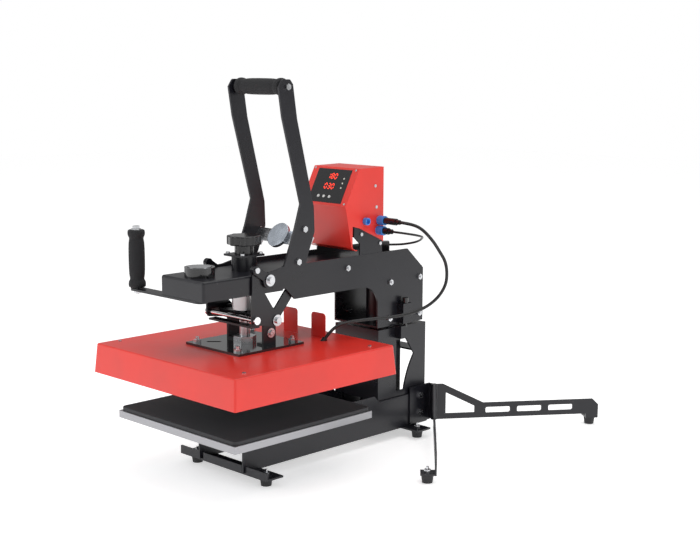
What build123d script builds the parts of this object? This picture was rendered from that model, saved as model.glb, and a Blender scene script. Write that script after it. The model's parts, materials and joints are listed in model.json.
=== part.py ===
"""Swing-away heat press: every piece as its own solid, in millimetres, +Z up, front towards -Y.

Pieces are drawn about the machine line: x = y = 0 at the middle of the lower platen, z = 0 on the
bench.  When a piece is written it is moved so that the origin lies under the middle of the press.
"""
import os
from math import atan2, cos, degrees, radians, sin, tan

from build123d import *

os.makedirs("parts", exist_ok=True)

# ---------------------------------------------------------------- driving dimensions
table_side = 380.0          # lower platen, square
table_top = 128.0
table_thick = 15.0
pad_thick = 9.0
pad_inset = 3.0
foot_height = 18.0
bar_thick = 4.0             # bars that carry the feet
sheet = 4.0                 # frame plates
gap = 0.3                   # between faces that slide past each other

base_front = -70.0
base_rear = 500.0
column_front = 335.0
column_rear = 495.0
column_top = 262.0
column_half = 69.0          # outer faces of the column and head plates
pivot_y = 415.0             # axis that the head swings about
pivot_radius = 20.0
running = 0.05              # radial clearance of a running fit

head_low = 268.0
cheek_low = 367.0
cheek_top = 440.0
beam_front = -164.0
beam_low = 389.0
beam_top = 430.0
seam_y = 46.0               # where the beam gives way to the cheeks

fulcrum_z = 417.0           # lever axis, over the middle of the platen
lever_swing = 124.0         # degrees from open to locked
lever_in = 75.0             # inner face of the lever plates
lever_thick = 5.0
crank = 43.0                # throw of the lever's lug
crank_angle = 146.0         # lug's place when open, from the rear, upwards
link_in = 70.0              # inner face of the link plates
link_thick = 4.0
pin_y = 24.0                # link pin on the platen's posts
pin_z = 330.0
pin_radius = 5.0
magnet_y = -118.0
magnet_top = 450.0
magnet_radius = 31.0
armature_thick = 8.0
armature_radius = 28.0

plate_bottom = 205.0        # hot plate, open
plate_side = 400.0
plate_thick = 14.0
cover_bottom = 210.0
cover_top = 272.0
cover_x = 460.0
cover_y = 444.0
cover_taper = 5.0
cover_wall = 2.0
mount_x = 172.0
mount_y = 178.0
mount_thick = 5.0
stud_x = 65.0
stud_y = 75.0
stud_radius = 4.0
spindle_radius = 11.0
tube_radius = 26.5

panel_half = 70.0           # controller half width
panel_top = (270.0, 630.0)  # slanted front panel, as y and z of its two edges
panel_foot = (228.0, 550.0)
key_radius = 3.2
brace_root = (92.0, 503.0)
brace_ends = ((349.0, 214.0), (328.0, 820.0))
brace_height = 85.0
brace_bar = 36.0
brace_low = 29.0
brace_thick = 4.0

bolt_radius = 4.0
head_height = 5.0
side_bolts = ((234.0, 416.0), (372.0, 369.0), (470.0, 371.0), (370.0, 286.0), (470.0, 286.0))
foot_spots = ((-112.0, -42.0), (112.0, -42.0), (-96.0, 440.0), (96.0, 440.0))

half_x = cover_x / 2
press_travel = plate_bottom - table_top - pad_thick - 0.5
cheek_in = column_half - sheet
both_sides = (("left", -1), ("right", 1))


# ---------------------------------------------------------------- small helpers
nodes = {}


def keep(piece, node):
    """Hold a finished piece for its node: a node is one piece, or a few alike that go together."""
    nodes.setdefault(node, []).append(piece)


def write(node, pieces):
    """Label a node and write it, with the origin under the middle of the press."""
    solids = [solid for piece in pieces for solid in piece.part.solids()]
    whole = Compound(solids).moved(Location((-middle_x, -middle_y, 0)))
    whole.label = node
    export_step(whole, f"parts/{node}.step")


def bar(start, direction, length, radius, mode=Mode.ADD):
    """Add or cut a round bar that starts at a point and runs along a direction."""
    with BuildSketch(Plane(origin=start, z_dir=direction)) as disc:
        Circle(radius)
    extrude(disc.sketch, amount=length, mode=mode)


def hex_head(start, direction, across, height, mode=Mode.ADD):
    """Add a hexagon head or nut that starts at a point and runs along a direction."""
    with BuildSketch(Plane(origin=start, z_dir=direction)) as hexagon:
        RegularPolygon(across / 2, 6, major_radius=False)
    extrude(hexagon.sketch, amount=height, mode=mode)


def block(low, high, mode=Mode.ADD):
    """Add or cut a box between its lowest and highest corners."""
    size = [b - a for a, b in zip(low, high)]
    with BuildSketch(Plane.XY.offset(low[2])) as base:
        with Locations(((low[0] + high[0]) / 2, (low[1] + high[1]) / 2)):
            Rectangle(size[0], size[1])
    extrude(base.sketch, amount=size[2], mode=mode)


def side_slab(outline, side, inner, thick, holes=(), mode=Mode.ADD):
    """Add a plate that stands along Y and Z, on one side, with round holes (y, z, radius)."""
    start = inner if side > 0 else -inner - thick
    with BuildSketch(Plane.YZ.offset(start)) as profile:
        with BuildLine():
            Polyline(*outline, close=True)
        make_face()
        for y, z, radius in holes:
            with Locations((y, z)):
                Circle(radius, mode=Mode.SUBTRACT)
    extrude(profile.sketch, amount=thick, mode=mode)


def swung(y, z, angle):
    """Turn a point of the lever about the fulcrum, from open towards locked, by an angle in degrees."""
    turn = radians(angle)
    z -= fulcrum_z
    return y * cos(turn) - z * sin(turn), y * sin(turn) + z * cos(turn) + fulcrum_z


# ---------------------------------------------------------------- base
table_low = table_top - table_thick
rail_drop = 18.0
plate_low = foot_height + bar_thick
rear_top = 98.0

for name, side in both_sides:
    with BuildPart() as base_side:
        side_slab([(base_front, plate_low), (base_rear, plate_low), (base_rear, rear_top),
                   (column_front, rear_top), (column_front - 15, table_low), (base_front, table_low)],
                  side, column_half, sheet)
    keep(base_side, "base_frame")

    with BuildPart() as table_rail:
        side_slab([(-60, table_low - rail_drop), (180, table_low - rail_drop), (180, table_low),
                   (-60, table_low)], side, cheek_in, sheet)
        inner = sorted((side * cheek_in, side * (cheek_in - 20)))
        block((inner[0], -60, table_low - sheet), (inner[1], 180, table_low))
    keep(table_rail, "base_frame")

    with BuildPart() as column_side:
        with BuildSketch(Plane.YZ.offset(cheek_in if side > 0 else -column_half)) as profile:
            with BuildLine():
                Polyline((column_front, plate_low), (column_rear, plate_low), (column_rear, column_top),
                         (column_front, column_top), close=True)
            make_face()
            with BuildLine():
                Polyline((422, 112), (395, 112), (395, 232), (428, 232), (456, 192))
                ThreePointArc((456, 192), (434, 152), (422, 112))
            make_face(mode=Mode.SUBTRACT)
        extrude(amount=sheet)
    keep(column_side, "column_sides")

for name, y_low, y_high, half in (("front_bar", -66.0, -20.0, 140.0), ("rear_bar", 418.0, 462.0, 118.0)):
    with BuildPart() as foot_bar:
        block((-half, y_low, foot_height), (half, y_high, plate_low))
        if name == "front_bar":
            block((-half, y_low, plate_low), (-column_half - sheet, y_low + sheet, plate_low + 14))
            block((column_half + sheet, y_low, plate_low), (half, y_low + sheet, plate_low + 14))
            block((-cheek_in + 2, y_low, plate_low), (cheek_in - 2, y_low + sheet, plate_low + 14))
        for x, y in foot_spots:
            bar((x, y, foot_height), (0, 0, 1), bar_thick, bolt_radius, Mode.SUBTRACT)
    keep(foot_bar, "foot_bars")

foot_top_radius = 13.5
foot_low_radius = 11.0
leg_tab_bottom = foot_height


def rubber_foot(x, y):
    """Add one tapered rubber foot, wider at the top, rounded at its lower rim."""
    with BuildSketch(Plane.XY) as low:
        with Locations((x, y)):
            Circle(foot_low_radius)
    with BuildSketch(Plane.XY.offset(foot_height)) as high:
        with Locations((x, y)):
            Circle(foot_top_radius)
    loft(Sketch(children=[low.sketch, high.sketch]).faces())


with BuildPart() as feet:
    for x, y in foot_spots:
        rubber_foot(x, y)
keep(feet, "rubber_feet")

with BuildPart() as foot_bolts:
    for x, y in foot_spots:
        bar((x, y, foot_height), (0, 0, 1), bar_thick, bolt_radius - 0.05)
        hex_head((x, y, plate_low), (0, 0, 1), 13, 6)
        bar((x, y, plate_low + 6), (0, 0, 1), 6, 3)
keep(foot_bolts, "foot_bolts")

with BuildPart() as lower_platen:
    with BuildSketch(Plane.XY.offset(table_low)):
        RectangleRounded(table_side, table_side, 2)
    extrude(amount=table_thick)
keep(lower_platen, "lower_platen")

with BuildPart() as pad:
    with BuildSketch(Plane.XY.offset(table_top)):
        RectangleRounded(table_side - 2 * pad_inset, table_side - 2 * pad_inset, 12)
    extrude(amount=pad_thick)
    fillet(pad.faces().sort_by(Axis.Z)[-1].edges(), 2)
keep(pad, "silicone_pad")

with BuildPart() as column_front_plate:
    block((-cheek_in, column_front, rear_top), (cheek_in, column_front + sheet, column_top))
keep(column_front_plate, "column_plates")

tube_half = 35.0
with BuildPart() as column_tube:
    with BuildSketch(Plane.XY.offset(plate_low + 8)):
        with Locations((0, pivot_y)):
            RectangleRounded(2 * tube_half, 2 * tube_half, 6)
            RectangleRounded(2 * tube_half - 8, 2 * tube_half - 8, 2.5, mode=Mode.SUBTRACT)
    extrude(amount=column_top - sheet - plate_low - 8)
keep(column_tube, "column_plates")

with BuildPart() as column_top_plate:
    block((-cheek_in, column_front + sheet, column_top - sheet), (cheek_in, column_rear - 2, column_top))
    bar((0, pivot_y, column_top - sheet), (0, 0, 1), sheet, pivot_radius, Mode.SUBTRACT)
keep(column_top_plate, "column_plates")

with BuildPart() as column_floor:
    block((-cheek_in, column_front + sheet, plate_low), (cheek_in, column_rear - 2, plate_low + 8))
keep(column_floor, "column_plates")

with BuildPart() as column_tie:
    block((-cheek_in, pivot_y + tube_half, 199), (cheek_in, column_rear - 2, 199 + sheet))
keep(column_tie, "column_plates")

sleeve_top = 392.0
bearing_top = sleeve_top + sheet
with BuildPart() as pivot_shaft:
    bar((0, pivot_y, plate_low + 8), (0, 0, 1), bearing_top + 12 - plate_low - 8, pivot_radius)
keep(pivot_shaft, "pivot_shaft")

with BuildPart() as thrust_washer:
    bar((0, pivot_y, column_top), (0, 0, 1), head_low - column_top - gap, 38)
    bar((0, pivot_y, column_top), (0, 0, 1), head_low, pivot_radius + running, Mode.SUBTRACT)
keep(thrust_washer, "pivot_shaft")

with BuildPart() as shaft_collar:
    bar((0, pivot_y, bearing_top + gap), (0, 0, 1), 11, 30)
    bar((0, pivot_y, bearing_top), (0, 0, 1), 14, pivot_radius, Mode.SUBTRACT)
keep(shaft_collar, "pivot_shaft")

catch_y = 412.0
lock_x = 80.0
lock_radius = 4.0
with BuildPart() as lock_catch:
    block((column_half, catch_y - 22, column_top - 24), (lock_x + 8, catch_y - lock_radius - gap, column_top + 5))
keep(lock_catch, "lock_catch")


# ---------------------------------------------------------------- rear brace
root_radius = 7.0


def leg_frame(end):
    """Plane of a leg: local x runs out along the leg, local y is up, from the root at floor height."""
    run = Vector(end[0] - brace_root[0], end[1] - brace_root[1], 0)
    return Plane(origin=(brace_root[0], brace_root[1], 0), x_dir=run, z_dir=run.cross(Vector(0, 0, 1))), run.length


with BuildPart() as brace_bracket:
    block((column_half + sheet, 436, plate_low + 4), (column_half + 2 * sheet, base_rear + 6, brace_low + brace_height))
    block((column_half + 2 * sheet, base_rear + 2, brace_low), (brace_root[0], base_rear + 6, brace_low + brace_height))
    bar((brace_root[0], brace_root[1], brace_low), (0, 0, 1), brace_height, root_radius)
keep(brace_bracket, "rear_brace")

for name, end in zip(("front", "rear"), brace_ends):
    plane, reach = leg_frame(end)
    start = root_radius + gap
    with BuildPart() as leg:
        with BuildSketch(plane) as profile:
            with BuildLine():
                Polyline((start, brace_low), (start, brace_low + brace_height), (start + 14, brace_low + brace_height),
                         (120, brace_low + brace_bar), (reach - 6, brace_low + brace_bar),
                         (reach + 8, brace_low + brace_bar - 14), (reach + 8, foot_height),
                         (reach - 22, foot_height), (reach - 22, brace_low), close=True)
            make_face()
            with BuildLine():
                Polyline((28, brace_low + 13), (98, brace_low + 13), (98, brace_low + 29), (28, brace_low + 64), close=True)
            make_face(mode=Mode.SUBTRACT)
            for centre in (155, 232, 309):
                with Locations((centre, brace_low + brace_bar / 2)):
                    RectangleRounded(60, brace_bar - 22, 4, mode=Mode.SUBTRACT)
        extrude(amount=brace_thick / 2, both=True)
        with BuildSketch(Plane(plane.origin + Vector(0, 0, foot_height), x_dir=plane.x_dir, z_dir=(0, 0, 1))) as tab:
            with Locations((reach - 7, 16 if name == "rear" else -16)):
                Rectangle(30, 32)
        extrude(tab.sketch, amount=bar_thick)
    keep(leg, "rear_brace")


def leg_foot_spot(end, side):
    """Where the rubber foot stands under the tab of a leg."""
    plane, reach = leg_frame(end)
    spot = plane.origin + plane.x_dir * (reach - 7) + plane.x_dir.cross(Vector(0, 0, 1)) * (-side * 17)
    return spot.X, spot.Y


leg_spots = (leg_foot_spot(brace_ends[0], -1), leg_foot_spot(brace_ends[1], 1))
with BuildPart() as brace_feet:
    for x, y in leg_spots:
        rubber_foot(x, y)
keep(brace_feet, "rubber_feet")

with BuildPart() as brace_bolts:
    for x, y in leg_spots:
        hex_head((x, y, plate_low), (0, 0, 1), 13, 6)
        bar((x, y, plate_low + 6), (0, 0, 1), 6, 3)
    for z in (50, 90):
        hex_head((column_half + 2 * sheet, 470, z), (1, 0, 0), 13, head_height)
keep(brace_bolts, "foot_bolts")

# ---------------------------------------------------------------- swinging head
for name, side in both_sides:
    with BuildPart() as cheek:
        with BuildSketch(Plane.YZ.offset(cheek_in if side > 0 else -column_half)) as profile:
            with BuildLine():
                Polyline((332, 330), (332, head_low), (484, head_low), (484, 391), (430, cheek_top),
                         (seam_y, cheek_top), (seam_y, 392), (54, 392), (79, cheek_low), (284, cheek_low))
                ThreePointArc((284, cheek_low), (316, 355), (332, 330))
            make_face()
            for y, z in side_bolts:
                with Locations((y, z)):
                    Circle(bolt_radius + gap / 2, mode=Mode.SUBTRACT)
        extrude(amount=sheet)
    keep(cheek, "cheeks")

with BuildPart() as beam:
    block((-column_half, beam_front, beam_low), (column_half, seam_y, beam_top))
    fillet(beam.edges().filter_by(Axis.Z).group_by(Axis.Y)[0], 6)
    fillet(beam.faces().sort_by(Axis.Z)[-1].edges().filter_by(Axis.X).sort_by(Axis.Y)[0:1], 5)
    block((-cheek_in, beam_front + sheet, beam_low), (cheek_in, seam_y, beam_top - sheet), Mode.SUBTRACT)
    bar((0, 0, beam_top - 2 * sheet), (0, 0, 1), 20, tube_radius, Mode.SUBTRACT)
    for side in (-1, 1):
        bar((side * cheek_in, 0, fulcrum_z), (side, 0, 0), sheet, 6, Mode.SUBTRACT)
keep(beam, "beam")

with BuildPart() as spine_plate:
    block((-cheek_in, seam_y, beam_top - sheet), (cheek_in, 430, beam_top))
keep(spine_plate, "head_plates")

with BuildPart() as spine_webs:
    block((-cheek_in, 130, cheek_low + 8), (cheek_in, 130 + sheet, beam_top - sheet))
    block((-cheek_in, 300, cheek_low + 8), (cheek_in, 300 + sheet, beam_top - sheet))
keep(spine_webs, "head_plates")

for name, low, high in (("head_floor", head_low, 332.0), ("head_bearing", sleeve_top, 345.0)):
    with BuildPart() as bearing:
        block((-cheek_in, high, low), (cheek_in, 484, low + sheet))
        bar((0, pivot_y, low), (0, 0, 1), sheet, pivot_radius + running, Mode.SUBTRACT)
    keep(bearing, "head_plates")

with BuildPart() as sleeve:
    bar((0, pivot_y, head_low + sheet), (0, 0, 1), sleeve_top - head_low - sheet, 34)
    bar((0, pivot_y, head_low + sheet), (0, 0, 1), sleeve_top, pivot_radius + 1, Mode.SUBTRACT)
keep(sleeve, "swing_sleeve")

bush_low = 348.0
flange_z = 460.0
with BuildPart() as guide_bush:
    bar((0, 0, bush_low), (0, 0, 1), beam_low - bush_low, tube_radius)
    bar((0, 0, bush_low), (0, 0, 1), 100, spindle_radius + running, Mode.SUBTRACT)
keep(guide_bush, "guide_bush")

with BuildPart() as guide_tube:
    bar((0, 0, beam_low), (0, 0, 1), flange_z - beam_low, tube_radius)
    bar((0, 0, beam_low), (0, 0, 1), 100, 18, Mode.SUBTRACT)
keep(guide_tube, "guide_tube")

with BuildPart() as tube_flange:
    block((-31, -31, flange_z), (31, 31, flange_z + sheet))
    bar((0, 0, flange_z), (0, 0, 1), 20, 7, Mode.SUBTRACT)
    fillet(tube_flange.edges().filter_by(Axis.Z).group_by(SortBy.LENGTH)[-1], 3)
keep(tube_flange, "guide_tube")

with BuildPart() as flange_bolts:
    for x in (-24, 24):
        for y in (-24, 24):
            hex_head((x, y, flange_z + sheet), (0, 0, 1), 8, 4)
keep(flange_bolts, "head_bolts")

with BuildPart() as magnet_body:
    bar((0, magnet_y, beam_top), (0, 0, 1), magnet_top - beam_top - 1, magnet_radius)
    bar((0, magnet_y, magnet_top - 6), (0, 0, 1), 10, magnet_radius - 6, Mode.SUBTRACT)
    for side in (-1, 1):
        block((side * magnet_radius - 6, magnet_y - 6, beam_top), (side * magnet_radius + 6, magnet_y + 6, beam_top + 4))
keep(magnet_body, "magnet_body")

with BuildPart() as magnet_core:
    bar((0, magnet_y, magnet_top - 6), (0, 0, 1), 6, magnet_radius - 7)
keep(magnet_core, "magnet_core")

grip_x = -167.0
grip_y = -151.0
grip_low = beam_low + 2
with BuildPart() as handle_bar:
    with BuildSketch(Plane.XY.offset(beam_low - 4.5)):
        with Locations(((44 + grip_x) / 2, grip_y)):
            SlotCenterToCenter(44 - grip_x, 28)
    extrude(amount=4.5)
    bar((grip_x, grip_y, beam_low - 5), (0, 0, 1), 10, bolt_radius, Mode.SUBTRACT)
keep(handle_bar, "swing_handle_bar")


def grip_profile(length):
    """Half outline of a foam grip: radius against length, flared collars and a full barrel."""
    return [(0, 0), (15, 0), (18, 3), (18, 11), (14.5, 17), (16.2, 26), (17, length / 2), (16.2, length - 26),
            (14.5, length - 17), (18, length - 11), (18, length - 3), (15, length), (0, length)]


def foam_grip(plane, length, bore):
    """Revolve a foam grip about the local y axis of a plane, with a bore for its rod."""
    with BuildSketch(plane) as half:
        with BuildLine():
            Polyline(*grip_profile(length), close=True)
        make_face()
        with Locations((bore / 2, length / 2)):
            Rectangle(bore, length, mode=Mode.SUBTRACT)
    revolve(half.sketch, axis=Axis(plane.origin, plane.y_dir))


with BuildPart() as swing_grip:
    foam_grip(Plane(origin=(grip_x, grip_y, grip_low), x_dir=(1, 0, 0), z_dir=(0, -1, 0)), 121, bolt_radius)
keep(swing_grip, "swing_grip")

with BuildPart() as swing_grip_bolt:
    bar((grip_x, grip_y, beam_low - 12), (0, 0, 1), 14 + 121, bolt_radius - gap / 6)
    bar((grip_x, grip_y, grip_low + 121), (0, 0, 1), 2, 11)
    hex_head((grip_x, grip_y, grip_low + 123), (0, 0, 1), 13, 6)
    hex_head((grip_x, grip_y, beam_low - 4.5 - 6), (0, 0, 1), 13, 6)
keep(swing_grip_bolt, "head_bolts")

with BuildPart() as fulcrum_bolts:
    for side in (-1, 1):
        start = Vector(side * (cheek_in - 6), 0, fulcrum_z)
        bar(start, (side, 0, 0), lever_in + lever_thick + 2.5 - cheek_in + 6, 5.95)
        bar((side * (lever_in + lever_thick + gap), 0, fulcrum_z), (side, 0, 0), 2.2, 12)
        bar((side * (lever_in + lever_thick + 2.5), 0, fulcrum_z), (side, 0, 0), 5, 7)
keep(fulcrum_bolts, "fulcrum_bolts")

with BuildPart() as cheek_bolts:
    for side in (-1, 1):
        for y, z in side_bolts:
            bar((side * (cheek_in - 8), y, z), (side, 0, 0), sheet + 8, bolt_radius)
            hex_head((side * column_half, y, z), (side, 0, 0), 12, head_height)
            bar((side * (column_half + head_height), y, z), (side, 0, 0), 3, 3)
keep(cheek_bolts, "head_bolts")

lock_low = head_low + 4
with BuildPart() as lock_housing:
    block((column_half, catch_y - 15, lock_low), (lock_x + 8, catch_y + 15, lock_low + 46))
    bar((lock_x, catch_y, lock_low), (0, 0, 1), 60, lock_radius + running, Mode.SUBTRACT)
keep(lock_housing, "lock_housing")

with BuildPart() as lock_plunger:
    bar((lock_x, catch_y, column_top + 1), (0, 0, 1), lock_low + 46 + gap - column_top - 1, lock_radius)
    bar((lock_x, catch_y, lock_low + 46 + gap), (0, 0, 1), 12, 7)
keep(lock_plunger, "lock_plunger")

# ---------------------------------------------------------------- controller
shell_low = 450.0
shell_rear = 347.0
shell_wall = 1.6
shell_profile = [panel_top, (shell_rear, panel_top[1] + 1), (shell_rear, 465), (262, shell_low), (247, 458), panel_foot]
panel_run = Vector(0, panel_foot[0] - panel_top[0], panel_foot[1] - panel_top[1])
panel_plane = Plane(origin=(0, panel_top[0], panel_top[1]), x_dir=(1, 0, 0), z_dir=panel_run.cross(Vector(1, 0, 0)))
screen_half = 52.0
screen_rows = (5.0, 85.0)
key_row = 71.0
key_columns = (("left", -23.0), ("middle", -6.0), ("right", 11.0))
lamp_column = 36.0
lamp_rows = (26.5, 37.5, 48.5)
screen_thick = 2.0

with BuildPart() as shell:
    with BuildSketch(Plane.YZ.offset(-panel_half)) as side_view:
        with BuildLine():
            Polyline(*shell_profile, close=True)
        make_face()
    extrude(amount=2 * panel_half)
    with BuildSketch(Plane.YZ.offset(-panel_half + shell_wall)) as inside:
        with BuildLine():
            Polyline(*shell_profile, close=True)
        make_face()
        offset(amount=-shell_wall, kind=Kind.INTERSECTION, mode=Mode.REPLACE)
    extrude(inside.sketch, amount=2 * (panel_half - shell_wall), mode=Mode.SUBTRACT)
    block((-panel_half + shell_wall, 266, shell_low - 5), (panel_half - shell_wall, shell_rear - shell_wall, 470), Mode.SUBTRACT)
    for side in (-1, 1):
        side_slab([(250, 440), (250, 505), (271, 500), (shell_rear + 5, 463.5), (shell_rear + 5, 440)],
                  side, panel_half - shell_wall, shell_wall, mode=Mode.SUBTRACT)
    with BuildSketch(panel_plane) as window:
        with Locations((0, -(screen_rows[0] + screen_rows[1]) / 2)):
            Rectangle(2 * screen_half, screen_rows[1] - screen_rows[0])
    extrude(window.sketch, amount=-5, mode=Mode.SUBTRACT)
keep(shell, "controller_shell")

with BuildPart() as screen:
    with BuildSketch(panel_plane.offset(-shell_wall)) as face:
        with Locations((0, -(screen_rows[0] + screen_rows[1]) / 2)):
            Rectangle(2 * screen_half - 0.4, screen_rows[1] - screen_rows[0] - 0.4)
        with Locations(*[(x, -key_row) for _, x in key_columns]):
            Circle(key_radius + gap, mode=Mode.SUBTRACT)
        with Locations(*[(lamp_column, -row) for row in lamp_rows]):
            Circle(2, mode=Mode.SUBTRACT)
    extrude(amount=screen_thick)
keep(screen, "display_panel")

with BuildPart() as lamps:
    for row in lamp_rows:
        with BuildSketch(panel_plane.offset(-shell_wall)) as lamp:
            with Locations((lamp_column, -row)):
                Circle(1.95)
        extrude(lamp.sketch, amount=screen_thick + 0.4)
keep(lamps, "status_lamps")

for name, x in key_columns:
    with BuildPart() as key:
        with BuildSketch(panel_plane.offset(-shell_wall - 1)):
            with Locations((x, -key_row)):
                Circle(key_radius)
        extrude(amount=screen_thick + 1 + 1.6)
    keep(key, f"key_{name}")

with BuildPart() as board:
    with BuildSketch(panel_plane.offset(-shell_wall - 4.5)):
        with Locations((0, -45)):
            Rectangle(110, 70)
    extrude(amount=1.6)
keep(board, "circuit_board")

with BuildPart() as board_posts:
    for x in (-48, 48):
        for row in (16, 74):
            with BuildSketch(panel_plane.offset(-shell_wall - 2.9)) as post:
                with Locations((x, -row)):
                    Circle(2.5)
            extrude(post.sketch, amount=2.9)
keep(board_posts, "controller_screws")

bracket_rear = shell_rear - shell_wall - gap
for name, side in both_sides:
    with BuildPart() as bracket:
        side_slab([(274, cheek_top), (274, 466), (256, 482), (256, 507), (271, 506), (bracket_rear, 472), (bracket_rear, cheek_top)],
                  side, cheek_in, panel_half - shell_wall - cheek_in)
    keep(bracket, "controller_brackets")

with BuildPart() as shell_screws:
    for side in (-1, 1):
        for y, z in ((320, 590), (324, 543)):
            bar((side * panel_half, y, z), (side, 0, 0), 1.2, 3.5)
        for y, z in ((278, 486), (338, 461)):
            bar((side * (panel_half - shell_wall), y, z), (side, 0, 0), 2.5, 4)
        for row in (5, 85):
            with BuildSketch(panel_plane) as screw:
                with Locations((side * (screen_half + 11), -row)):
                    Circle(2.5)
            extrude(screw.sketch, amount=1)
keep(shell_screws, "controller_screws")

spare_y = 289.0
plug_spots = ((334.0, 513.0, 132.0), (331.0, 491.0, 112.0))   # y, z and outer end x of each plug
with BuildPart() as sockets:
    bar((panel_half, spare_y, 514), (1, 0, 0), 9, 8)
    bar((panel_half + 3, spare_y, 514), (1, 0, 0), 10, 5.5, Mode.SUBTRACT)
    for y, z, _ in plug_spots:
        bar((panel_half, y, z), (1, 0, 0), 6, 10)
keep(sockets, "power_sockets")

with BuildPart() as plug_nuts:
    for y, z, _ in plug_spots:
        bar((panel_half + 6, y, z), (1, 0, 0), 12, 10.5)
keep(plug_nuts, "plug_nuts")

with BuildPart() as plugs:
    for y, z, end in plug_spots:
        bar((panel_half + 18, y, z), (1, 0, 0), end - 10 - panel_half - 18, 7.5)
        bar((end - 10, y, z), (1, 0, 0), 10, 5.5)
keep(plugs, "plug_bodies")


# ---------------------------------------------------------------- leads
def lead(name, route, diameter):
    """Write a round lead along straight runs joined by arcs, and print its radii and length."""
    points = [Vector(*p) for p in route]
    runs = [b - a for a, b in zip(points, points[1:])]
    radii = []
    for before, after in zip(runs, runs[1:]):
        half_turn = radians(before.get_angle(after)) / 2
        radii.append(0.45 * min(before.length, after.length) / tan(half_turn))
    with BuildPart() as tube:
        with BuildLine() as path:
            FilletPolyline(*points, radius=radii)
        with BuildSketch(Plane(origin=points[0], z_dir=runs[0])):
            Circle(diameter / 2)
        sweep(path=path.wires()[0])
    section = 3.14159265 * diameter ** 2 / 4
    length = path.wires()[0].length
    print(name, "length", round(length, 1), "least radius", round(min(radii), 1),
          "volume ratio", round(tube.part.volume / (section * length), 4))
    keep(tube, name)


heater_lead_size = 7.0
heater_route = ((132, 334, 513), (158, 334, 513), (184, 345, 505), (203, 362, 478), (206, 382, 452), (213, 394, 430),
                (216, 397, 403), (214, 395, 376), (203, 380, 347), (186, 352, 325), (160, 307, 312), (132, 242, 311),
                (114, 195, 309), (101, 162, 301), (93, 145, 277))
lead("heater_lead", heater_route, heater_lead_size)

magnet_lead_size = 5.0
magnet_route = ((112, 331, 491), (133, 331, 491), (150, 341, 489), (160, 360, 485), (154, 384, 479), (136, 404, 473), (112, 424, 464),
                (86, 440, 456), (62, 443, 450), (40, 434, 446), (24, 416, 446))
lead("magnet_lead", magnet_route, magnet_lead_size)

entry_run = Vector(*magnet_route[-1]) - Vector(*magnet_route[-2])
with BuildPart() as lead_entry:
    with BuildSketch(Plane(origin=(magnet_route[-1][0], magnet_route[-1][1], beam_top), x_dir=entry_run, z_dir=(0, 0, 1))):
        with Locations((12, 0)):
            Rectangle(24, 20)
    extrude(amount=24)
keep(lead_entry, "plug_bodies")

# ---------------------------------------------------------------- lever
lever_top = (50.0, 811.0)
lever_lug = (crank * cos(radians(crank_angle)), fulcrum_z + crank * sin(radians(crank_angle)))
lever_edge = [(8, 400), (0, 433), (40, 441), (69, 513), (86, 567), (37, 745), (27, 806), (38, 822), (58, 822), (66, 812),
              (77, 742), (124, 558), (126, 506), (98, 436), (88, 428)]
plate_centre = swung(magnet_y, magnet_top + gap + armature_thick + sheet / 2, -lever_swing)
lever_bolts = ((78.0, 447.0), (96.0, 514.0))

for name, side in both_sides:
    with BuildPart() as lever_arm:
        side_slab(lever_edge, side, lever_in, lever_thick)
        bar((side * lever_in, 0, fulcrum_z), (side, 0, 0), lever_thick, 17)
        bar((side * lever_in, lever_lug[0], lever_lug[1]), (side, 0, 0), lever_thick, 9)
        mid = ((lever_lug[0]) / 2, (lever_lug[1] + fulcrum_z) / 2)
        with BuildSketch(Plane.YZ.offset(lever_in if side > 0 else -lever_in - lever_thick)) as lug:
            with Locations(Location((mid[0], mid[1]), crank_angle)):
                Rectangle(crank, 18)
        extrude(lug.sketch, amount=lever_thick)
        bar((side * lever_in, 0, fulcrum_z), (side, 0, 0), lever_thick, 5.95 + running, Mode.SUBTRACT)
        fillet(lever_arm.edges().filter_by(Axis.X).group_by(Axis.Z)[-1], 6)
    keep(lever_arm, "lever_arms")

with BuildPart() as grip_tube:
    bar((-lever_in, lever_top[0], lever_top[1] - 4), (1, 0, 0), 2 * lever_in, 9)
keep(grip_tube, "lever_cross_bars")

with BuildPart() as lever_grip:
    foam_grip(Plane(origin=(-68, lever_top[0], lever_top[1] - 4), x_dir=(0, 1, 0), z_dir=(0, 0, -1)), 136, 9.05)
keep(lever_grip, "lever_grip")

armature_plane = Plane(origin=(0, plate_centre[0], plate_centre[1]), x_dir=(1, 0, 0),
                       z_dir=(0, sin(radians(lever_swing)), cos(radians(lever_swing))))
with BuildPart() as armature_bracket:
    with BuildSketch(armature_plane.offset(-sheet / 2)):
        Rectangle(2 * lever_in, 30)
    extrude(amount=sheet)
    for side in (-1, 1):
        ear = sorted((side * lever_in, side * (lever_in - 3)))
        with BuildSketch(armature_plane.offset(-sheet / 2)) as ear_sketch:
            with Locations(((ear[0] + ear[1]) / 2, 0)):
                Rectangle(3, 34)
        extrude(ear_sketch.sketch, amount=24)
keep(armature_bracket, "armature_bracket")

with BuildPart() as armature:
    with BuildSketch(armature_plane.offset(-sheet / 2)):
        Circle(armature_radius)
    extrude(amount=-armature_thick)
    fillet(armature.edges().group_by(SortBy.LENGTH)[-1], 0.8)
keep(armature, "armature_disc")

with BuildPart() as lever_fasteners:
    out = lever_in + lever_thick
    for side in (-1, 1):
        for y, z in lever_bolts + ((lever_top[0], lever_top[1] - 4),):
            hex_head((side * out, y, z), (side, 0, 0), 12, head_height)
        bar((side * out, lever_lug[0], lever_lug[1]), (side, 0, 0), 4, 6)
keep(lever_fasteners, "lever_bolts")

# ---------------------------------------------------------------- links between lever and platen
link_out = link_in + link_thick
slot_half = 8.0
link_outline = [(-44, 441), (-44, 326), (30, 319), (38, 334), (10, 361), (-9, 392), (-17, 425), (-30, 450)]
tie = (-34.0, 337.0)
link_lean = degrees(atan2(lever_lug[1] - pin_z, lever_lug[0] - pin_y))

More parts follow.
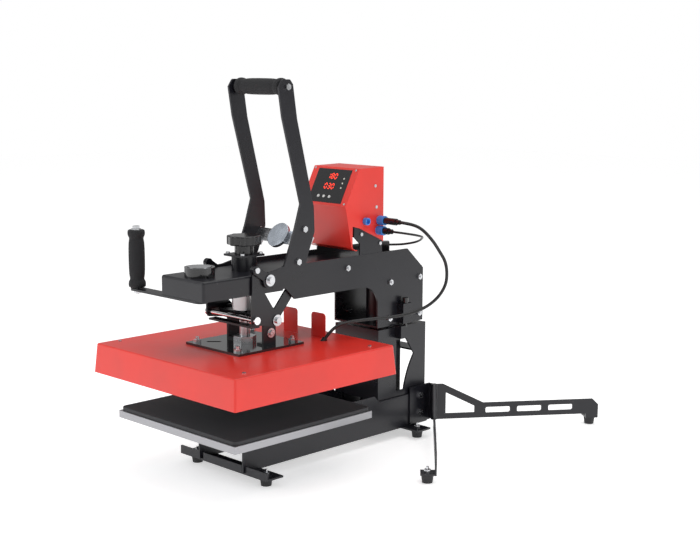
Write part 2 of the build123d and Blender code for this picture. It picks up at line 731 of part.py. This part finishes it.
for name, side in both_sides:
    with BuildPart() as link:
        side_slab([(-42, 432), (-44, 334), (-40, 327), (26, 318), (36, 326), (36, 336), (12, 360), (-12, 396),
                   (-22, 436)], side, link_in, link_thick)
        bar((side * link_in, lever_lug[0], lever_lug[1]), (side, 0, 0), link_thick, 9)
        bar((side * link_in, pin_y, pin_z), (side, 0, 0), link_thick, pin_radius + running, Mode.SUBTRACT)
        bar((side * link_in, tie[0], tie[1]), (side, 0, 0), link_thick, 5, Mode.SUBTRACT)
    keep(link, "link_plates")

with BuildPart() as tie_rod:
    bar((-link_out, tie[0], tie[1]), (1, 0, 0), 2 * link_out, 5)
keep(tie_rod, "link_rod")

with BuildPart() as tie_bar:
    block((-link_in, tie[0] - 6, tie[1] - 17), (link_in, tie[0] + 14, tie[1] - 13))
keep(tie_bar, "link_plates")

with BuildPart() as link_bolts:
    for side in (-1, 1):
        bar((side * link_out, tie[0], tie[1]), (side, 0, 0), 6, 8)
keep(link_bolts, "link_rod")

# ---------------------------------------------------------------- heated platen
insulation_low = plate_bottom + plate_thick + 5
with BuildPart() as cover:
    with BuildSketch(Plane.XY.offset(cover_bottom)) as low:
        RectangleRounded(cover_x, cover_y, 4)
    with BuildSketch(Plane.XY.offset(cover_top)) as high:
        RectangleRounded(cover_x - 2 * cover_taper, cover_y - 2 * cover_taper, 4)
    loft(Sketch(children=[low.sketch, high.sketch]).faces())
    fillet(cover.faces().sort_by(Axis.Z)[-1].edges(), 3)
    with BuildSketch(Plane.XY.offset(cover_bottom)) as low_in:
        RectangleRounded(cover_x - 2 * cover_wall, cover_y - 2 * cover_wall, 2.5)
    with BuildSketch(Plane.XY.offset(cover_top - cover_wall)) as high_in:
        RectangleRounded(cover_x - 2 * cover_taper - 2 * cover_wall, cover_y - 2 * cover_taper - 2 * cover_wall, 2.5)
    loft(Sketch(children=[low_in.sketch, high_in.sketch]).faces(), mode=Mode.SUBTRACT)
    for x in (-stud_x, stud_x):
        for y in (-stud_y, stud_y):
            bar((x, y, cover_top - 5), (0, 0, 1), 10, stud_radius, Mode.SUBTRACT)
keep(cover, "platen_cover")

with BuildPart() as hot_plate:
    with BuildSketch(Plane.XY.offset(plate_bottom)):
        RectangleRounded(plate_side, plate_side, 6)
    extrude(amount=plate_thick)
keep(hot_plate, "hot_plate")

with BuildPart() as element:
    block((-170, -170, plate_bottom + plate_thick), (170, 170, insulation_low))
keep(element, "heating_element")

with BuildPart() as insulation:
    block((-plate_side / 2, -plate_side / 2, insulation_low), (plate_side / 2, plate_side / 2, insulation_low + 22))
    for x in (-stud_x, stud_x):
        for y in (-stud_y, stud_y):
            bar((x, y, insulation_low), (0, 0, 1), 30, stud_radius, Mode.SUBTRACT)
keep(insulation, "insulation")

mount_low = cover_top
mount_high = mount_low + mount_thick
with BuildPart() as studs:
    for x in (-stud_x, stud_x):
        for y in (-stud_y, stud_y):
            bar((x, y, insulation_low), (0, 0, 1), mount_high + 12 - insulation_low, stud_radius)
keep(studs, "platen_fasteners")

with BuildPart() as stud_nuts:
    for x in (-stud_x, stud_x):
        for y in (-stud_y, stud_y):
            hex_head((x, y, mount_high), (0, 0, 1), 14, 6.5)
            bar((x, y, mount_high), (0, 0, 1), 7, stud_radius, Mode.SUBTRACT)
keep(stud_nuts, "platen_fasteners")

with BuildPart() as mounting_plate:
    block((-mount_x / 2, -mount_y / 2, mount_low), (mount_x / 2, mount_y / 2, mount_high))
    for x in (-stud_x, stud_x):
        for y in (-stud_y, stud_y):
            bar((x, y, mount_low), (0, 0, 1), 10, stud_radius, Mode.SUBTRACT)
    with BuildSketch(Plane.XY.offset(mount_low)) as keyhole:
        with Locations(Location((-46, -46), 45)):
            SlotCenterToCenter(22, 9)
    extrude(keyhole.sketch, amount=mount_thick, mode=Mode.SUBTRACT)
keep(mounting_plate, "mounting_plate")

nut_high = mount_high + 14
spindle_top = 450.0
with BuildPart() as spindle:
    bar((0, 0, mount_high), (0, 0, 1), spindle_top - mount_high, spindle_radius)
keep(spindle, "press_spindle")

with BuildPart() as spindle_nut:
    hex_head((0, 0, mount_high), (0, 0, 1), 42, 14)
    bar((0, 0, mount_high), (0, 0, 1), 20, spindle_radius, Mode.SUBTRACT)
keep(spindle_nut, "platen_fasteners")

post_in = 54.0
post_thick = 5.0
post_top = 350.0
yoke_low = 339.0
for name, side in both_sides:
    with BuildPart() as post:
        side_slab([(0, mount_high), (34, mount_high), (34, post_top), (0, post_top)], side, post_in, post_thick)
        foot = sorted((side * (post_in + post_thick), side * (post_in - 16)))
        block((foot[0], 0, mount_high), (foot[1], 34, mount_high + 4))
    keep(post, "platen_posts")

    with BuildPart() as strut:
        lean = degrees(atan2(408 - pin_z, 92 - pin_y))
        with BuildSketch(Plane.YZ.offset(post_in + post_thick if side > 0 else -post_in - post_thick - sheet)):
            with Locations(Location(((92 + pin_y) / 2, (408 + pin_z) / 2), lean)):
                SlotCenterToCenter(((92 - pin_y) ** 2 + (408 - pin_z) ** 2) ** 0.5, 24)
            with Locations((pin_y, pin_z)):
                Circle(pin_radius, mode=Mode.SUBTRACT)
        extrude(amount=sheet)
    keep(strut, "guide_struts")

with BuildPart() as yoke_plate:
    block((-post_in, -22, yoke_low), (post_in, 34, yoke_low + 6))
    bar((0, 0, yoke_low), (0, 0, 1), 10, spindle_radius, Mode.SUBTRACT)
keep(yoke_plate, "platen_posts")

with BuildPart() as link_pins:
    for side in (-1, 1):
        strut_out = post_in + post_thick + sheet
        bar((side * (post_in + post_thick), pin_y, pin_z), (side, 0, 0), link_out + 3 - post_in - post_thick, pin_radius)
        bar((side * strut_out, pin_y, pin_z), (side, 0, 0), link_in - gap - strut_out, 8)
        bar((side * (link_out + gap), pin_y, pin_z), (side, 0, 0), 2.2, 12)
        bar((side * (link_out + 2.5), pin_y, pin_z), (side, 0, 0), 5, 6.5)
        bar((side * (post_in + post_thick), 20, 302), (side, 0, 0), 2, 10)
        bar((side * (post_in + post_thick + 2), 20, 302), (side, 0, 0), 4, 5.5)
keep(link_pins, "link_pins")

tab_y = 160.0
with BuildPart() as cover_tabs:
    for low, high in ((-53, -9), (36, 79)):
        with BuildSketch(Plane.XZ.offset(-tab_y)) as tab:
            with Locations(((low + high) / 2, cover_top + 26)):
                RectangleRounded(high - low, 56, 8)
            with Locations(((low + high) / 2, cover_top - 10)):
                Rectangle(high - low, 20, mode=Mode.SUBTRACT)
            with Locations(((low + high) / 2, cover_top + 6)):
                Rectangle(high - low, 12)
        extrude(tab.sketch, amount=cover_wall)
keep(cover_tabs, "cover_tabs")

gland_run = Vector(*heater_route[-1]) - Vector(*heater_route[-2])
with BuildPart() as gland:
    bar(heater_route[-1], gland_run, 16, 6)
    split(bisect_by=Plane.XY.offset(cover_top), keep=Keep.TOP)
keep(gland, "lead_gland")

with BuildPart() as cover_screws:
    for x in (-205, 198):
        for y in (-172, 172):
            bar((x, y, cover_top), (0, 0, 1), 2, 4)
keep(cover_screws, "platen_fasteners")

# ---------------------------------------------------------------- pressure knob
knob_low = 483.0
knob_high = 503.0
knob_radius = 36.0
with BuildPart() as knob:
    with BuildSketch(Plane.XY.offset(knob_low)):
        Circle(knob_radius - 3)
        with PolarLocations(knob_radius - 8, 8):
            Circle(8)
    extrude(amount=knob_high - knob_low)
    fillet(knob.faces().filter_by(Axis.Z).edges(), 3)
    bar((0, 0, flange_z + sheet + gap), (0, 0, 1), knob_low - flange_z - sheet - gap, 20)
keep(knob, "pressure_knob")

with BuildPart() as knob_screw:
    bar((0, 0, spindle_top + 3), (0, 0, 1), flange_z + sheet + gap - spindle_top - 3, 6)
keep(knob_screw, "pressure_knob")

# The leads are left out: they hang inside the outline of the rest.
around = Compound([solid for node, pieces in nodes.items() if not node.endswith("_lead")
                   for piece in pieces for solid in piece.part.solids()]).bounding_box()
middle_x = round((around.min.X + around.max.X) / 2, 1)
middle_y = round((around.min.Y + around.max.Y) / 2, 1)
print("middle", middle_x, middle_y, "size", around.size)
for node, pieces in nodes.items():
    write(node, pieces)

print(len(nodes), "nodes, press travel", press_travel, "lug", [round(v, 1) for v in lever_lug], "link lean", round(link_lean, 1))
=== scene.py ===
import bpy
import json
import math
import numpy as np
from mathutils import Matrix, Vector


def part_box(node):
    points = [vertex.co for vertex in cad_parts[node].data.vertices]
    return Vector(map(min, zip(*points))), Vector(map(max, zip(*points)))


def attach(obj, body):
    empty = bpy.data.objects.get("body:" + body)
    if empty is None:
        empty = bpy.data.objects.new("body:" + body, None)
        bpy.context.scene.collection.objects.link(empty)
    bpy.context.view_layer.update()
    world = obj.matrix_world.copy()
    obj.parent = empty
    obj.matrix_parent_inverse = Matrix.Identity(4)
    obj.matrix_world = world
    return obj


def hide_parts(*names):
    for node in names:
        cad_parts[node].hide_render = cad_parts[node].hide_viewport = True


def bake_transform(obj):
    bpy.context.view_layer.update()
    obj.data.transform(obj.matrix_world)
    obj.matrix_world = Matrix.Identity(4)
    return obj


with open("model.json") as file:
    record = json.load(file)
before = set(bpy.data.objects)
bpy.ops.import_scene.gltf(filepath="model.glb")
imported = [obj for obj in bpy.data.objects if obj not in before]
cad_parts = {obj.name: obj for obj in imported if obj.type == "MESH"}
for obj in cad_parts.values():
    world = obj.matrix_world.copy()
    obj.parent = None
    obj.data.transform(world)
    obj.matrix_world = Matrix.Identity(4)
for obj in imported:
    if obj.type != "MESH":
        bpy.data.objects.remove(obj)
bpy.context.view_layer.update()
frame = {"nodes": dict(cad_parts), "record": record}  # frame["bodies"], ["nodes"], ["joints"], ["record"]
low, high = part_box("lower_platen")
CENTRE = np.array([(low.x + high.x) / 2, (low.y + high.y) / 2, 0.0])


def at(x, y, z):
    """A point given in millimetres from the middle of the lower platen, in the row frame in metres."""
    return CENTRE + np.array([x, y, z], float) / 1000.0


# ------------------------------------------------------------------ camera
yaw, pitch, roll = 0.7799593, 0.1639924, 0.0042255  # radians: to the left, down, and about the line of sight
CAMERA_SPOT = (1988.4435, -1697.0604, 840.2981)
LENS = 65.147
fw = Vector((-math.sin(yaw) * math.cos(pitch), math.cos(yaw) * math.cos(pitch), -math.sin(pitch)))
right = Vector((math.cos(yaw), math.sin(yaw), 0.0))
up = right.cross(fw)
r2 = right * math.cos(roll) + up * math.sin(roll)
u2 = up * math.cos(roll) - right * math.sin(roll)
place = Vector(at(*CAMERA_SPOT))
cam = bpy.data.objects.new("camera", bpy.data.cameras.new("camera"))
cam.data.sensor_fit = "HORIZONTAL"
cam.data.sensor_width = 36.0
cam.data.lens = LENS
cam.data.clip_start = 0.05
cam.data.clip_end = 60.0
cam.matrix_world = Matrix(((r2.x, u2.x, -fw.x, place.x), (r2.y, u2.y, -fw.y, place.y),
                           (r2.z, u2.z, -fw.z, place.z), (0, 0, 0, 1)))
bpy.context.scene.collection.objects.link(cam)
bpy.context.scene.camera = cam
bpy.context.scene.view_settings.view_transform = "Standard"


# ------------------------------------------------------------------ materials
def finish(name, colour, rough, metal=0.0, coat=0.0, coat_rough=0.1, patch=9.0, patch_rough=0.06, patch_tone=0.10,
           grain=900.0, bump=0.05, depth=0.0002, stretch=(1, 1, 1), wear=0.0, wear_colour=(0.3, 0.3, 0.31),
           glow=None, specular=0.5):
    """A finish whose roughness and tone wander over the object, with a fine grain in its normals.
    Broad noise moves roughness by patch_rough and tone by patch_tone; grain noise drives the bump;
    wear shows wear_colour where a third noise rises above a threshold."""
    m = bpy.data.materials.new(name)
    m.use_nodes = True
    t = m.node_tree
    n, l = t.nodes, t.links
    b = n["Principled BSDF"]
    b.inputs["Metallic"].default_value = metal
    b.inputs["Coat Weight"].default_value = coat
    b.inputs["Coat Roughness"].default_value = coat_rough
    b.inputs["Specular IOR Level"].default_value = specular
    where = n.new("ShaderNodeTexCoord")
    turn = n.new("ShaderNodeMapping")
    turn.inputs["Scale"].default_value = stretch
    l.new(where.outputs["Object"], turn.inputs["Vector"])

    def noise(scale, detail, vector):
        x = n.new("ShaderNodeTexNoise")
        x.inputs["Scale"].default_value = scale
        x.inputs["Detail"].default_value = detail
        l.new(vector, x.inputs["Vector"])
        return x.outputs["Fac"]

    def spread(source, a, c, d, e):
        x = n.new("ShaderNodeMapRange")
        l.new(source, x.inputs["Value"])
        for key, value in zip(("From Min", "From Max", "To Min", "To Max"), (a, c, d, e)):
            x.inputs[key].default_value = value
        return x.outputs["Result"]

    def mixed(fac, first, second):
        x = n.new("ShaderNodeMix")
        x.data_type = "RGBA"
        l.new(fac, x.inputs[0])
        for index, value in ((6, first), (7, second)):
            if isinstance(value, tuple):
                x.inputs[index].default_value = (*value, 1.0)
            else:
                l.new(value, x.inputs[index])
        return x.outputs[2]

    broad = noise(patch, 4.0, where.outputs["Object"])
    fine = noise(grain, 3.0, turn.outputs["Vector"])
    dark = tuple(c * (1 - patch_tone) for c in colour)
    pale = tuple(min(1.0, c * (1 + patch_tone)) for c in colour)
    tone = mixed(spread(broad, 0.35, 0.65, 0.0, 1.0), dark, pale)
    if wear:
        spots = spread(noise(70.0, 6.0, where.outputs["Object"]), 0.74 - wear, 0.80 - wear, 0.0, 1.0)
        tone = mixed(spots, tone, wear_colour)
    l.new(tone, b.inputs["Base Color"])
    l.new(spread(broad, 0.3, 0.7, rough - patch_rough, rough + patch_rough), b.inputs["Roughness"])
    if glow:
        b.inputs["Emission Color"].default_value = (*glow[0], 1.0)
        b.inputs["Emission Strength"].default_value = glow[1]
    ridge = n.new("ShaderNodeBump")
    ridge.inputs["Strength"].default_value = bump
    ridge.inputs["Distance"].default_value = depth
    l.new(fine, ridge.inputs["Height"])
    l.new(ridge.outputs["Normal"], b.inputs["Normal"])
    return m


LOOKS = {
    "black_paint": finish("black_paint", (0.009, 0.009, 0.013), 0.30, grain=700, bump=0.22, wear=0.02,
                          wear_colour=(0.05, 0.05, 0.055), patch_rough=0.05),
    "red_paint": finish("red_paint", (0.84, 0.034, 0.022), 0.36, coat=0.25, coat_rough=0.22, grain=800, bump=0.18,
                        patch_tone=0.05),
    "black_gloss": finish("black_gloss", (0.010, 0.010, 0.012), 0.13, coat=0.6, coat_rough=0.05, grain=350, bump=0.05,
                          patch_rough=0.04),
    "bright_zinc": finish("bright_zinc", (0.66, 0.67, 0.69), 0.27, metal=1.0, grain=1500, bump=0.12, patch=60.0,
                          patch_rough=0.07, patch_tone=0.12, wear=0.05, wear_colour=(0.42, 0.43, 0.46)),
    "chrome": finish("chrome", (0.80, 0.80, 0.81), 0.08, metal=1.0, grain=900, bump=0.03, patch_rough=0.03),
    "turned_steel": finish("turned_steel", (0.62, 0.63, 0.65), 0.30, metal=1.0, grain=1400, bump=0.2,
                           stretch=(1, 1, 5), patch=30.0, patch_tone=0.08),
    "aluminium": finish("aluminium", (0.42, 0.42, 0.44), 0.42, metal=0.8, grain=600, bump=0.16, stretch=(1, 6, 6),
                        patch_rough=0.07, patch_tone=0.04),
    "black_rubber": finish("black_rubber", (0.020, 0.020, 0.022), 0.62, grain=1300, bump=0.3, patch_tone=0.2),
    "foam": finish("foam", (0.014, 0.014, 0.016), 0.80, grain=1800, bump=0.55, depth=0.0004, patch_tone=0.15,
                   patch_rough=0.08),
    "black_plastic": finish("black_plastic", (0.010, 0.010, 0.011), 0.20, coat=0.3, grain=500, bump=0.06,
                            patch_rough=0.05),
    "blue_plastic": finish("blue_plastic", (0.06, 0.26, 0.74), 0.35, grain=900, bump=0.1),
    "dark_screen": finish("dark_screen", (0.006, 0.006, 0.008), 0.06, coat=0.5, grain=300, bump=0.01,
                          patch_rough=0.02),
    "lamp_lens": finish("lamp_lens", (0.72, 0.70, 0.62), 0.22, grain=900, bump=0.05),
    "key_cap": finish("key_cap", (0.72, 0.72, 0.70), 0.42, grain=1200, bump=0.12),
    "board_green": finish("board_green", (0.02, 0.13, 0.045), 0.40, grain=900, bump=0.1),
    "wool": finish("wool", (0.72, 0.70, 0.62), 0.92, grain=900, bump=0.8, depth=0.0008),
    "mica": finish("mica", (0.50, 0.40, 0.26), 0.45, grain=500, bump=0.2),
}
pad_rubber = finish("pad_rubber", (0.045, 0.046, 0.050), 0.74, grain=1600, bump=0.35, patch_tone=0.12)
lead_skin = finish("lead_skin", (0.012, 0.012, 0.013), 0.38, grain=1100, bump=0.18, patch_rough=0.08)
pale_bush = finish("pale_bush", (0.74, 0.74, 0.75), 0.42, metal=0.7, grain=900, bump=0.16)
blue_steel = finish("blue_steel", (0.56, 0.61, 0.68), 0.24, metal=1.0, grain=1200, bump=0.12, patch=40.0)
OWN = {"silicone_pad": pad_rubber, "guide_bush": pale_bush, "armature_disc": blue_steel,
       "heater_lead": lead_skin, "magnet_lead": lead_skin}
slot_of = {s["node"]: s["material_slot"] for s in frame["record"]["subparts"]}
for node, obj in frame["nodes"].items():
    look = OWN.get(node, LOOKS[slot_of[node]])
    if not obj.data.materials:
        obj.data.materials.append(look)
    for i in range(len(obj.data.materials)):
        obj.data.materials[i] = look


# ------------------------------------------------------------------ surfaces
def grid(name, points, look):
    """A mesh through a rows x columns array of points: neighbours share a face, and the columns close into rings."""
    rows, cols = points.shape[:2]
    mesh = bpy.data.meshes.new(name)
    here = np.arange(rows * cols).reshape(rows, cols)
    beside = np.roll(here, -1, axis=1)
    faces = np.stack([here[:-1], beside[:-1], beside[1:], here[1:]], axis=-1).reshape(-1, 4).tolist()
    mesh.from_pydata(points.reshape(-1, 3).tolist(), [], faces)
    mesh.polygons.foreach_set("use_smooth", [True] * len(faces))
    mesh.materials.append(look)
    mesh.update()
    obj = bpy.data.objects.new(name, mesh)
    bpy.context.scene.collection.objects.link(obj)
    return obj


def eased(profile, steps):
    """Points along a profile: the straight runs between its stations, with each corner rounded off by
    averaging neighbours, so a foam collar turns softly into its barrel."""
    p = np.array(profile, float)
    run = np.concatenate([[0], np.cumsum(np.linalg.norm(np.diff(p, axis=0), axis=1))])
    s = np.linspace(0, run[-1], steps)
    out = np.stack([np.interp(s, run, p[:, 0]), np.interp(s, run, p[:, 1])], 1)
    for _ in range(int(steps * 0.09)):
        out[1:-1] = 0.25 * out[:-2] + 0.5 * out[1:-1] + 0.25 * out[2:]
    return out


def turned(name, start, axis, profile, look, columns=96):
    """A surface of revolution: at each station, a circle of that radius about the axis, that far along it."""
    axis = np.array(axis, float)
    side = np.cross(axis, [0.3, 0.9, 0.2])
    side /= np.linalg.norm(side)
    other = np.cross(axis, side)
    turn = np.linspace(0, 2 * math.pi, columns, endpoint=False)
    ring = np.cos(turn)[:, None] * side + np.sin(turn)[:, None] * other
    radius, reach = np.array(profile, float).T[:, :, None, None] / 1000.0
    points = start + axis * reach + ring * radius
    return grid(name, points, look)


def grip(name, start, axis, length, bore):
    """A foam grip: a barrel 17 mm in radius at the middle, waisted at 14.5 mm before a flared 18 mm collar at each
    end, rounded to the bore."""
    half = [(15.2, 0.0), (17.6, 1.2), (18.0, 4.0), (18.0, 9.0), (17.3, 12.5), (14.6, 17.0), (15.2, 21.0), (16.2, 27.0),
            (16.8, 40.0), (17.0, length / 2)]
    back = [(r, length - h) for r, h in reversed(half[:-1])]
    body = eased(half + back, 260)
    closed = np.vstack([[bore, 0.0], [(bore + 15.2) / 2, 0.0], body, [(bore + 15.2) / 2, length], [bore, length]])
    return turned(name, start, axis, closed, LOOKS["foam"])


SWING_GRIP_FOOT, SWING_GRIP_LENGTH, SWING_BOLT_RADIUS = (-167, -151, 391), 121.0, 4.0
LEVER_GRIP_END, LEVER_GRIP_LENGTH, LEVER_TUBE_RADIUS = (-68, 50, 807), 136.0, 9.0
swing_grip = grip("swing_grip_foam", at(*SWING_GRIP_FOOT), (0, 0, 1), SWING_GRIP_LENGTH, SWING_BOLT_RADIUS)
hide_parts("swing_grip")
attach(swing_grip, "head")
lever_grip = grip("lever_grip_foam", at(*LEVER_GRIP_END), (1, 0, 0), LEVER_GRIP_LENGTH, LEVER_TUBE_RADIUS)
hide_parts("lever_grip")
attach(lever_grip, "lever")


# ------------------------------------------------------------------ leads
def along(route, steps):
    """The line that a lead follows: it starts at the first point of its route, ends at the last, and between them
    turns as a parabola from each half-way point to the next, with the route's point as its pull."""
    p = np.array([at(*q) for q in route])
    starts = [p[0]] + [(p[i] + p[i + 1]) / 2 for i in range(1, len(p) - 2)]
    ends = starts[1:] + [p[-1]]
    t = np.linspace(0, 1, steps, endpoint=False)[:, None]
    line = [(1 - t) ** 2 * a + 2 * t * (1 - t) * pull + t * t * b for a, pull, b in zip(starts, p[1:-1], ends)]
    return np.vstack(line + [p[-1:]])


def tube(name, line, diameter, look, columns=20):
    """A round tube about a line: the ring at each point is carried on from the last one, so it doesn't twist."""
    run = np.gradient(line, axis=0)
    run /= np.linalg.norm(run, axis=1)[:, None]
    side = np.cross(run[0], [0, 0, 1.0])
    turn = np.linspace(0, 2 * math.pi, columns, endpoint=False)
    rings = []
    for point, way in zip(line, run):
        side = side - way * side.dot(way)
        side /= np.linalg.norm(side)
        other = np.cross(way, side)
        rings.append(point + (np.cos(turn)[:, None] * side + np.sin(turn)[:, None] * other) * diameter / 2)
    return grid(name, np.array(rings), look)


HEATER_ROUTE = ((132, 334, 513), (158, 334, 513), (184, 345, 505), (203, 362, 478), (206, 382, 452), (213, 394, 430),
                (216, 397, 403), (214, 395, 376), (203, 380, 347), (186, 352, 325), (160, 307, 312), (132, 242, 311),
                (114, 195, 309), (101, 162, 301), (93, 145, 277))
MAGNET_ROUTE = ((112, 331, 491), (133, 331, 491), (150, 341, 489), (160, 360, 485), (154, 384, 479), (136, 404, 473),
                (112, 424, 464), (86, 440, 456), (62, 443, 450), (40, 434, 446), (24, 416, 446))
HEATER_DIAMETER, HEATER_LENGTH = 0.007, 0.5163
MAGNET_DIAMETER, MAGNET_LENGTH = 0.005, 0.2494
# The heater lead is one tube along its route, baked into place and carried by no body.
heater_line = along(HEATER_ROUTE, 12)
heater_tube = tube("heater_lead_skin", heater_line, HEATER_DIAMETER, lead_skin)
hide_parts("heater_lead")
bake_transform(heater_tube)

curve = bpy.data.curves.new("magnet_lead_skin", "CURVE")
curve.dimensions = "3D"
curve.bevel_depth = MAGNET_DIAMETER / 2
curve.bevel_resolution = 5
curve.resolution_u = 12
curve.use_fill_caps = True
spline = curve.splines.new("NURBS")
spline.points.add(len(MAGNET_ROUTE) - 1)
for knot, q in zip(spline.points, MAGNET_ROUTE):
    knot.co = (*at(*q), 1.0)
spline.order_u = 3
spline.use_endpoint_u = True
curve.materials.append(lead_skin)
magnet_cord = bpy.data.objects.new("magnet_lead_skin", curve)
bpy.context.scene.collection.objects.link(magnet_cord)
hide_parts("magnet_lead")
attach(magnet_cord, "head")

# ------------------------------------------------------------------ display digits
lit_red = finish("lit_red", (0.75, 0.02, 0.01), 0.4, grain=500, bump=0.02, glow=((1.0, 0.05, 0.02), 1.6))
panel_from = np.array([270.0, 630.0])  # y and z of the panel's upper edge, then of its lower edge
panel_to = np.array([228.0, 550.0])
panel_run = (panel_to - panel_from) / np.linalg.norm(panel_to - panel_from)
panel_out = np.array([panel_run[1], -panel_run[0]])


def on_panel(x, down, lift):
    """A point on the slanted panel: x across, down from its upper edge, and lift out of its face."""
    y, z = panel_from + panel_run * down + panel_out * lift
    return at(x, y, z)


SEGMENTS = {"0": "abcdef", "1": "bc", "3": "abgcd", "8": "abcdefg"}
BAR_FOOT, BAR_FACE = 0.36, 0.52  # the bars' lift off the panel, in millimetres: just in the glass, and just proud of it
DIGIT_WIDTH, DIGIT_BAR, DIGIT_PITCH, DIGIT_LEAN = 0.54, 0.085, 0.88, 0.10  # shares of a digit's height
DIGIT_HEIGHT, DIGIT_LEFT = 12.0, -16.0


def digits(name, text, left, top, height):
    """Seven-bar digits: each bar is a thin plate on the display, its ends cut to points, leaning a little."""
    wide, bar = height * DIGIT_WIDTH, height * DIGIT_BAR
    places = {"a": (0, 0, 1), "g": (0, height / 2, 1), "d": (0, height, 1), "f": (0, 0, 0), "b": (wide, 0, 0),
              "e": (0, height / 2, 0), "c": (wide, height / 2, 0)}
    verts, faces = [], []
    for i, digit in enumerate(text):
        for s in SEGMENTS[digit]:
            x, d, flat = places[s]
            size = wide if flat else height / 2
            outline = [(0.8 * bar, 0), (1.6 * bar, bar), (size - 1.6 * bar, bar), (size - 0.8 * bar, 0),
                       (size - 1.6 * bar, -bar), (1.6 * bar, -bar)]
            first = len(verts)
            for lift in (BAR_FOOT, BAR_FACE):
                for u, v in outline:
                    px, py = (x + u, d + v) if flat else (x + v, d + u)
                    px += (height - py) * DIGIT_LEAN + left + i * height * DIGIT_PITCH
                    verts.append(tuple(on_panel(px, top + py, lift)))
            faces.append(tuple(range(first + 6, first + 12)))
            faces.append(tuple(range(first + 5, first - 1, -1)))
            for k in range(6):
                faces.append((first + k, first + (k + 1) % 6, first + 6 + (k + 1) % 6, first + 6 + k))
    mesh = bpy.data.meshes.new(name)
    mesh.from_pydata(verts, [], faces)
    mesh.materials.append(lit_red)
    mesh.update()
    obj = bpy.data.objects.new(name, mesh)
    bpy.context.scene.collection.objects.link(obj)
    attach(obj, "head")
    return obj


digits("upper_digits", "180", DIGIT_LEFT, 16.0, DIGIT_HEIGHT)
digits("lower_digits", "030", DIGIT_LEFT, 40.0, DIGIT_HEIGHT)

# ------------------------------------------------------------------ stage
floor_look = finish("floor_white", (0.92, 0.92, 0.92), 0.9, grain=40, bump=0.0, patch_tone=0.0, patch_rough=0.0,
                    glow=((1.0, 1.0, 1.0), 0.50), specular=0.0)
floor_mesh = bpy.data.meshes.new("floor")
FLOOR_HALF, FLOOR_DROP = 9, 0.0004
corners = [(x * FLOOR_HALF, y * FLOOR_HALF, 0) for x, y in ((-1, -1), (1, -1), (1, 1), (-1, 1))]
floor_mesh.from_pydata(corners, [], [(0, 1, 2, 3)])
floor_mesh.materials.append(floor_look)
floor = bpy.data.objects.new("floor", floor_mesh)
floor.location = (0, 0, -FLOOR_DROP)
bpy.context.scene.collection.objects.link(floor)


def lamp(name, spot, aim, width, height, power):
    """A soft rectangular light at a spot, turned to its aim."""
    data = bpy.data.lights.new(name, "AREA")
    data.shape = "RECTANGLE"
    data.size, data.size_y, data.energy = width, height, power
    obj = bpy.data.objects.new(name, data)
    obj.location = spot
    obj.rotation_euler = (Vector(aim) - Vector(spot)).to_track_quat("-Z", "Y").to_euler()
    bpy.context.scene.collection.objects.link(obj)


lamp("overhead", (0.2, 0.3, 2.8), (0.0, 0.1, 0.3), 2.6, 2.6, 30.0)
lamp("front_left", (-1.6, -2.6, 1.7), (0.0, 0.0, 0.3), 1.6, 1.6, 18.0)
lamp("right_side", (3.0, 0.6, 1.3), (0.0, 0.1, 0.35), 1.4, 1.8, 12.0)

world = bpy.data.worlds.new("white_room")
bpy.context.scene.world = world
world.use_nodes = True
wn, wl = world.node_tree.nodes, world.node_tree.links
wn.clear()
out = wn.new("ShaderNodeOutputWorld")
seen = wn.new("ShaderNodeBackground")
seen.inputs["Color"].default_value = (1.0, 1.0, 1.0, 1.0)
felt = wn.new("ShaderNodeBackground")
where = wn.new("ShaderNodeTexCoord")
split = wn.new("ShaderNodeSeparateXYZ")
rise = wn.new("ShaderNodeMapRange")
for key, value in zip(("From Min", "From Max", "To Min", "To Max"), (-0.2, 0.9, 0.22, 0.80)):
    rise.inputs[key].default_value = value
ray = wn.new("ShaderNodeLightPath")
choose = wn.new("ShaderNodeMixShader")
wl.new(where.outputs["Generated"], split.inputs["Vector"])
wl.new(split.outputs["Z"], rise.inputs["Value"])
wl.new(rise.outputs["Result"], felt.inputs["Strength"])
wl.new(ray.outputs["Is Camera Ray"], choose.inputs[0])
wl.new(felt.outputs["Background"], choose.inputs[1])
wl.new(seen.outputs["Background"], choose.inputs[2])
wl.new(choose.outputs["Shader"], out.inputs["Surface"])
